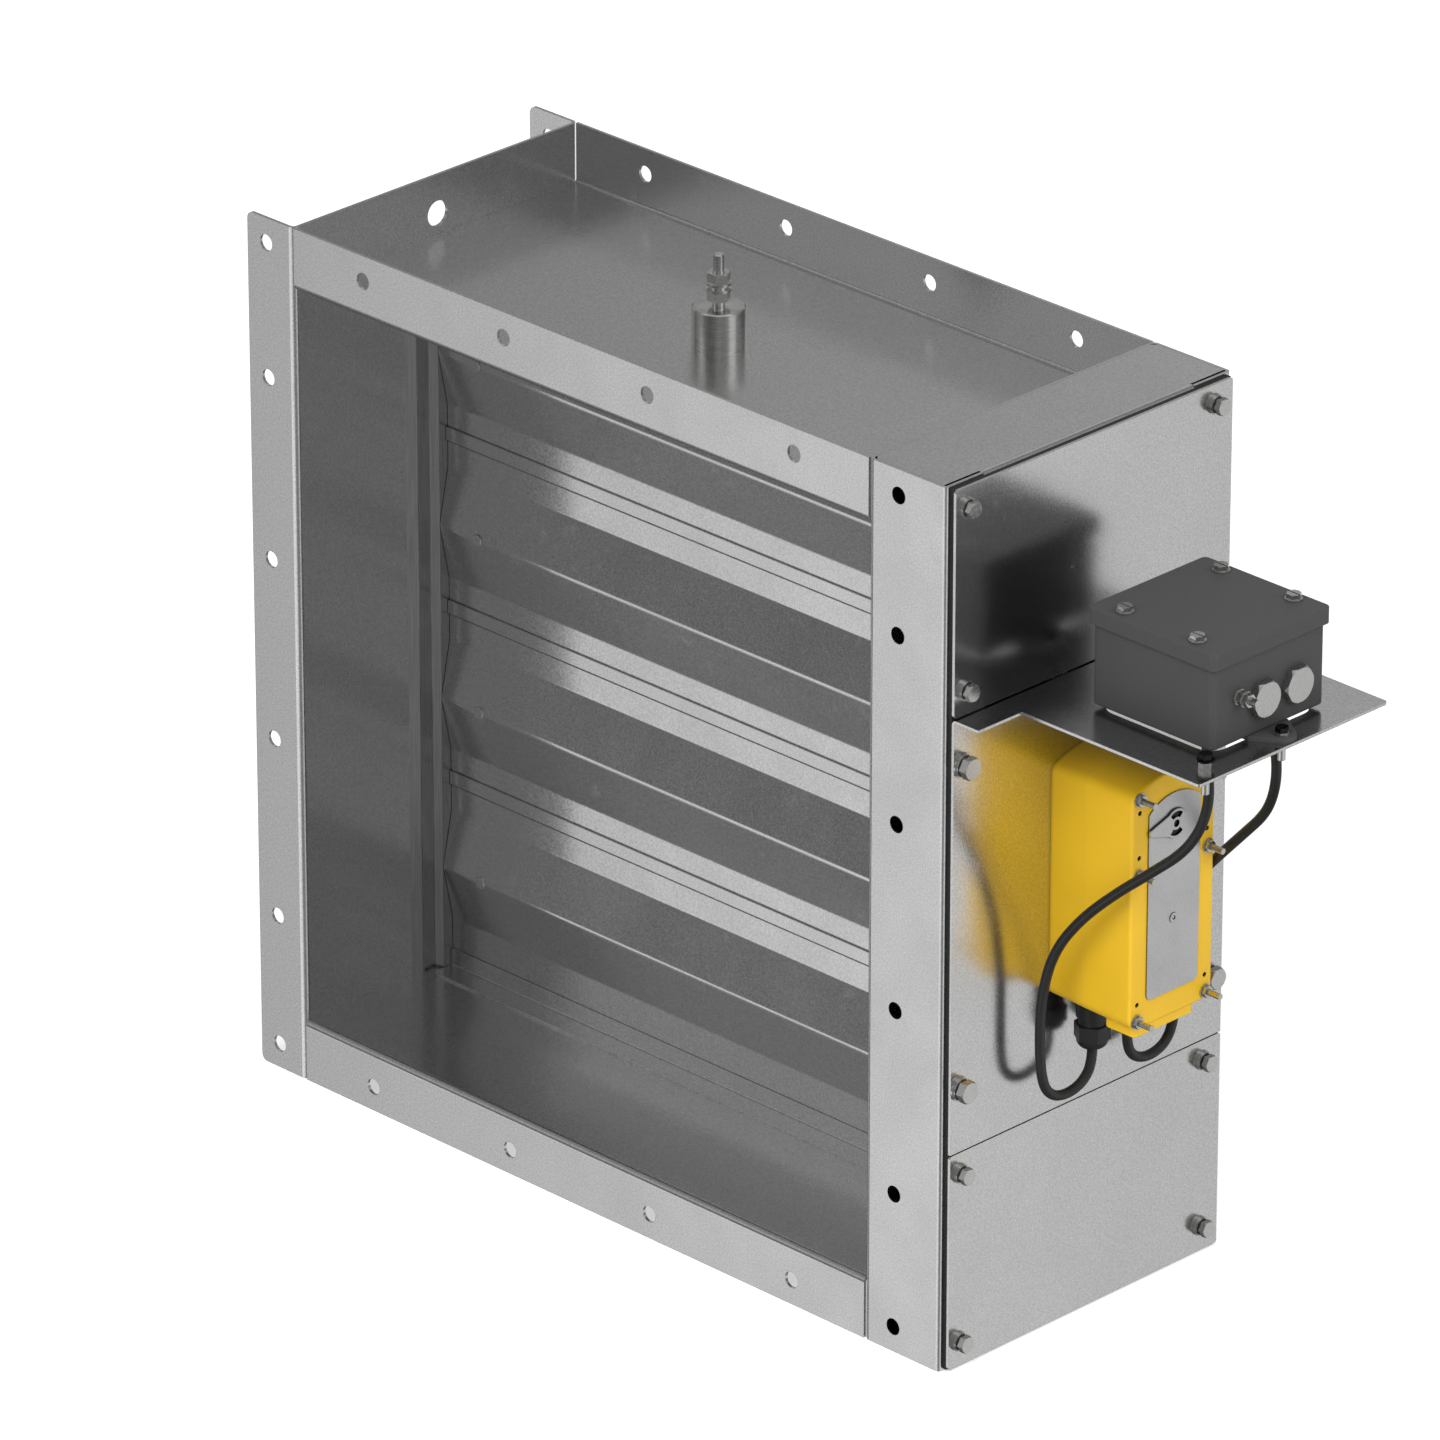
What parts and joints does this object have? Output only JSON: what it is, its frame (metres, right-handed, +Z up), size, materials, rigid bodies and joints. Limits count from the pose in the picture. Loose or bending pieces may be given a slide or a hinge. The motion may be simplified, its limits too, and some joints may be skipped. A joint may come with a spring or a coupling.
{
  "type": "control damper",
  "caption": "Rectangular air control damper: flanged casing, horizontal overlapping blades tied by a linkage, electric actuator and terminal box on a side shelf.",
  "frame": {"origin": "centre of the duct opening in the plane of the front flange", "axes": "+X across the duct to the actuator side, +Y along the duct from the front flange to the back flange, +Z up"},
  "size_m": [0.7754, 0.248, 0.6126],
  "materials": {
    "galvanised_sheet": "satin zinc coating",
    "spring_steel": "satin",
    "plated_steel": "zinc plated",
    "turned_steel": "turned bright",
    "bearing_bronze": "satin",
    "black_rubber": "matte",
    "yellow_casting": "satin powder coat",
    "indicator_plate": "fine grained",
    "black_plastic": "moulded",
    "anthracite_casting": "matte powder coat"
  },
  "bodies": {
    "casing": {"actuator_base": "yellow_casting", "actuator_bracket": "galvanised_sheet", "actuator_cover": "yellow_casting", "actuator_front_plate": "indicator_plate", "actuator_nuts": "plated_steel", "actuator_screws": "plated_steel", "back_cable": "black_rubber", "blade_stops": "galvanised_sheet", "bottom_channel": "galvanised_sheet", "bracket_bolts": "plated_steel", "cable_gland_bodies": "black_plastic", "cable_gland_caps": "black_plastic", "cable_grommets": "black_rubber", "cover_bolts": "plated_steel", "cover_gaskets": "black_rubber", "earth_boss": "turned_steel", "earth_stud": "turned_steel", "earth_stud_nuts": "turned_steel", "front_cable": "black_rubber", "housing_caps": "galvanised_sheet", "housing_seal_rings": "black_rubber", "housing_walls": "galvanised_sheet", "housing_washers": "plated_steel", "housing_weld_nuts": "plated_steel", "left_side_channel": "galvanised_sheet", "left_side_seal": "spring_steel", "lower_cover": "galvanised_sheet", "right_side_seal": "spring_steel", "right_side_wall": "galvanised_sheet", "shaft_bushes": "bearing_bronze", "shelf_bolts": "plated_steel", "terminal_box_body": "anthracite_casting", "terminal_box_earth_screw": "plated_steel", "terminal_box_lid": "anthracite_casting", "terminal_box_lid_screws": "plated_steel", "terminal_box_plugs": "plated_steel", "top_channel": "galvanised_sheet", "upper_cover": "galvanised_sheet"},
    "blade_1": {"blade_1_front_skin": "galvanised_sheet", "blade_1_back_skin": "galvanised_sheet", "blade_1_shaft": "plated_steel", "blade_1_rivets": "plated_steel", "blade_1_crank": "plated_steel"},
    "blade_2": {"blade_2_front_skin": "galvanised_sheet", "blade_2_back_skin": "galvanised_sheet", "blade_2_shaft": "plated_steel", "blade_2_rivets": "plated_steel", "blade_2_crank": "plated_steel"},
    "blade_3": {"blade_3_front_skin": "galvanised_sheet", "blade_3_back_skin": "galvanised_sheet", "blade_3_shaft": "plated_steel", "blade_3_rivets": "plated_steel", "blade_3_crank": "plated_steel", "position_indicator": "indicator_plate"},
    "blade_4": {"blade_4_front_skin": "galvanised_sheet", "blade_4_back_skin": "galvanised_sheet", "blade_4_shaft": "plated_steel", "blade_4_rivets": "plated_steel", "blade_4_crank": "plated_steel"},
    "link_bar": {"link_bar": "plated_steel"}
  },
  "joints": [
    {"name": "blade_1_turn", "type": "hinge", "parent": "casing", "child": "blade_1", "pos_m": [0, 0.124, -0.18075], "axis": [1, 0, 0], "range_deg": [0, 90]},
    {"name": "blade_2_turn", "type": "hinge", "parent": "casing", "child": "blade_2", "pos_m": [0, 0.124, -0.06025], "axis": [1, 0, 0], "range_deg": [0, 90]},
    {"name": "blade_3_turn", "type": "hinge", "parent": "casing", "child": "blade_3", "pos_m": [0, 0.124, 0.06025], "axis": [1, 0, 0], "range_deg": [0, 90]},
    {"name": "blade_4_turn", "type": "hinge", "parent": "casing", "child": "blade_4", "pos_m": [0, 0.124, 0.18075], "axis": [1, 0, 0], "range_deg": [0, 90]},
    {"name": "link_bar_pivot", "type": "hinge", "parent": "blade_3", "child": "link_bar", "pos_m": [0.2693, 0.14521, 0.03904], "axis": [1, 0, 0], "range_deg": [-90, 0]}
  ],
  "couplings": [
    {"joint": "blade_1_turn", "follows": "blade_3_turn", "ratio": 1},
    {"joint": "blade_2_turn", "follows": "blade_3_turn", "ratio": 1},
    {"joint": "blade_4_turn", "follows": "blade_3_turn", "ratio": 1},
    {"joint": "link_bar_pivot", "follows": "blade_3_turn", "ratio": -1}
  ]
}
